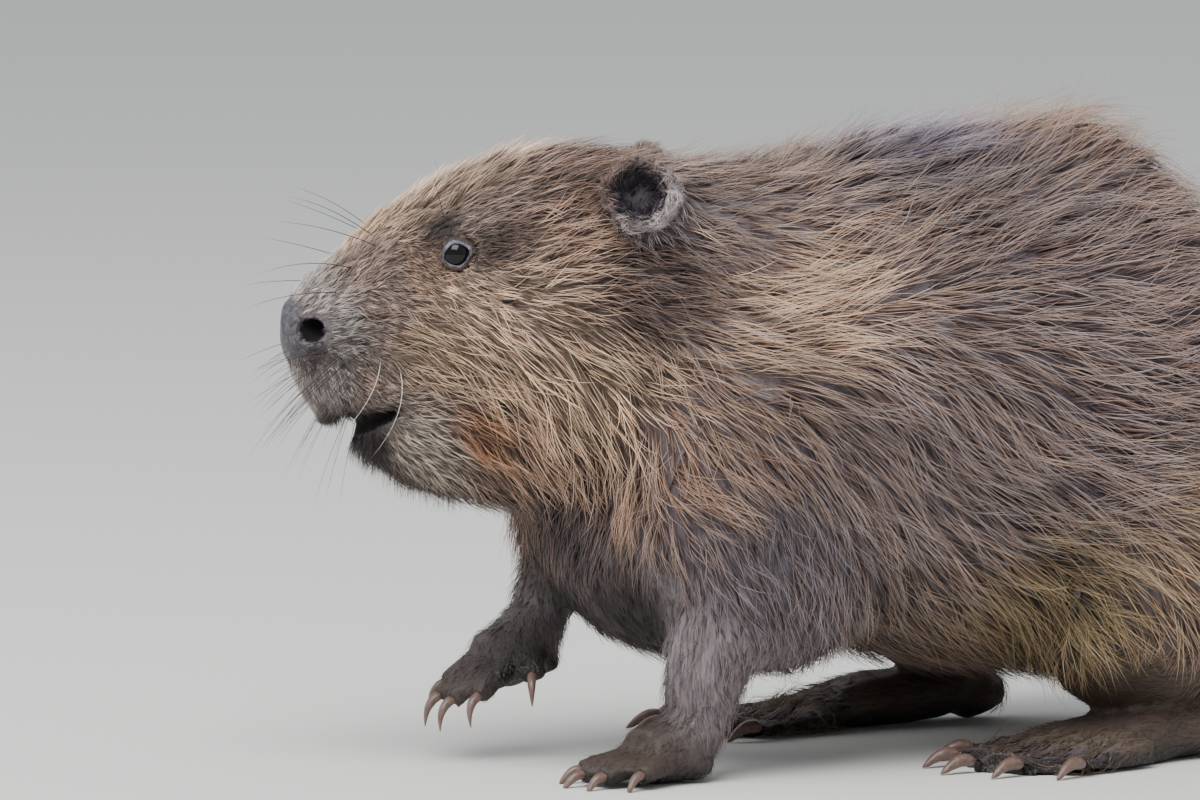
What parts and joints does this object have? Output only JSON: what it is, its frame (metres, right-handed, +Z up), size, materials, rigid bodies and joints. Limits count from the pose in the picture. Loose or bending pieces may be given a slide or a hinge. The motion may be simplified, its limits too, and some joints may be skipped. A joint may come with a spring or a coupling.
{
  "type": "life-size beaver model",
  "caption": "Still life-size model of a Eurasian beaver in mid-step, head turned to its right, one forefoot raised, flat scaly tail laid on the floor",
  "frame": {"origin": "middle of the footprint, on the floor", "axes": "+X the animal's left, -Y the way it walks, +Z up"},
  "size_m": [0.271, 0.7594, 0.2729],
  "materials": {
    "coat": "brown fur, tawny guard hairs over a grey-brown underfur",
    "foot_skin": "dark bare skin under short sleek hair",
    "nose_skin": "dark grey, fine-grained, slightly moist",
    "tail_scales": "dark grey-brown flat scales",
    "horn": "pinkish-brown horn of the claws",
    "eyeball": "wet black"
  },
  "bodies": {
    "root": {"belly": "coat", "chest": "coat", "head": "coat", "jaw": "coat", "left_ear": "coat", "left_eye": "eyeball", "left_fore_claw_1": "horn", "left_fore_claw_2": "horn", "left_fore_claw_3": "horn", "left_fore_claw_4": "horn", "left_fore_claw_5": "horn", "left_fore_foot": "foot_skin", "left_foreleg": "coat", "left_hind_claw_1": "horn", "left_hind_claw_2": "horn", "left_hind_claw_3": "horn", "left_hind_claw_4": "horn", "left_hind_claw_5": "horn", "left_hind_foot": "foot_skin", "left_hind_leg": "coat", "neck": "coat", "nose": "nose_skin", "right_ear": "coat", "right_eye": "eyeball", "right_fore_claw_1": "horn", "right_fore_claw_2": "horn", "right_fore_claw_3": "horn", "right_fore_claw_4": "horn", "right_fore_claw_5": "horn", "right_fore_foot": "foot_skin", "right_foreleg": "coat", "right_hind_claw_1": "horn", "right_hind_claw_2": "horn", "right_hind_claw_3": "horn", "right_hind_claw_4": "horn", "right_hind_claw_5": "horn", "right_hind_foot": "foot_skin", "right_hind_leg": "coat", "rump": "coat", "tail": "tail_scales", "tail_root": "coat"}
  },
  "joints": []
}
